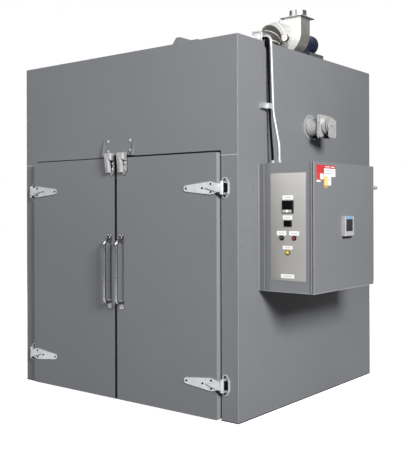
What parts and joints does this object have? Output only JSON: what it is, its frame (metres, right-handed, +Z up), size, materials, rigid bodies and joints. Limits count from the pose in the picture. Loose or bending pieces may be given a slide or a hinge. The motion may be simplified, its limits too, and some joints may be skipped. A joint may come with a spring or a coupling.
{
  "type": "walk-in oven",
  "caption": "Walk-in industrial oven with double swing doors on strap hinges, a wall-mounted control enclosure, a fresh-air inlet and a roof exhaust blower.",
  "frame": {"origin": "on the floor, under the middle of the cabinet's plan", "axes": "+Z up; the doors face -Y; +X is to the right of someone facing the doors, on the side of the control enclosure"},
  "size_m": [2.955, 2.3095, 3.327],
  "materials": {
    "cabinet_paint": "satin grey enamel",
    "door_paint": "satin grey enamel",
    "enclosure_paint": "satin grey enamel",
    "stainless": "fine brushed",
    "stainless_bright": "bright mill finish",
    "zinc_steel": "zinc plated",
    "polished_steel": "polished tube",
    "cast_zinc": "cast, plated",
    "galvanised": "galvanised",
    "gasket": "woven high-temperature seal",
    "black_plastic": "moulded",
    "grey_plastic": "moulded",
    "button_plastic": "moulded",
    "cable_jacket": "smooth jacket",
    "motor_paint": "dark blue enamel"
  },
  "bodies": {
    "oven_body": {"left_wall_front": "cabinet_paint", "left_wall_rear": "cabinet_paint", "right_wall_front": "cabinet_paint", "right_wall_rear": "cabinet_paint", "rear_wall": "cabinet_paint", "roof_panel": "cabinet_paint", "floor_panel": "galvanised", "front_header": "cabinet_paint", "front_post_left": "cabinet_paint", "front_post_right": "cabinet_paint", "door_gasket": "gasket", "latch_bracket": "cabinet_paint", "right_hinge_brackets": "zinc_steel", "left_hinge_brackets": "zinc_steel", "enclosure_mount_frame": "enclosure_paint", "control_enclosure": "enclosure_paint", "enclosure_subpanel": "galvanised", "operator_panel": "stainless", "temperature_controller": "black_plastic", "limit_controller": "black_plastic", "push_buttons": "button_plastic", "conduit": "galvanised", "black_cable": "cable_jacket", "conduit_fittings": "galvanised", "conduit_strut": "galvanised", "roof_junction_box": "enclosure_paint", "inlet_collar": "stainless_bright", "inlet_damper": "stainless_bright", "blower_scroll": "stainless_bright", "blower_outlet": "stainless_bright", "blower_intake": "stainless_bright", "blower_motor": "motor_paint", "blower_pedestal": "cabinet_paint", "airflow_switch": "grey_plastic", "fan_drive_guard": "cabinet_paint"},
    "right_door": {"right_door_leaf": "door_paint", "right_door_straps": "zinc_steel", "right_door_handle": "polished_steel", "right_door_latch": "cast_zinc"},
    "left_door": {"left_door_leaf": "door_paint", "left_door_straps": "zinc_steel", "left_door_handle": "polished_steel", "left_door_latch": "cast_zinc"},
    "control_door_panel": {"control_door": "enclosure_paint", "control_door_clamp": "zinc_steel", "display_unit": "grey_plastic"}
  },
  "joints": [
    {"name": "right_door_hinge", "type": "hinge", "parent": "oven_body", "child": "right_door", "pos_m": [1.097, -1.129, 1], "axis": [0, 0, 1], "range_deg": [0, 135]},
    {"name": "left_door_hinge", "type": "hinge", "parent": "oven_body", "child": "left_door", "pos_m": [-1.097, -1.129, 1], "axis": [0, 0, -1], "range_deg": [0, 135]},
    {"name": "control_door_hinge", "type": "hinge", "parent": "oven_body", "child": "control_door_panel", "pos_m": [1.679, -0.817, 1.45], "axis": [0, 0, -1], "range_deg": [0, 120]}
  ]
}
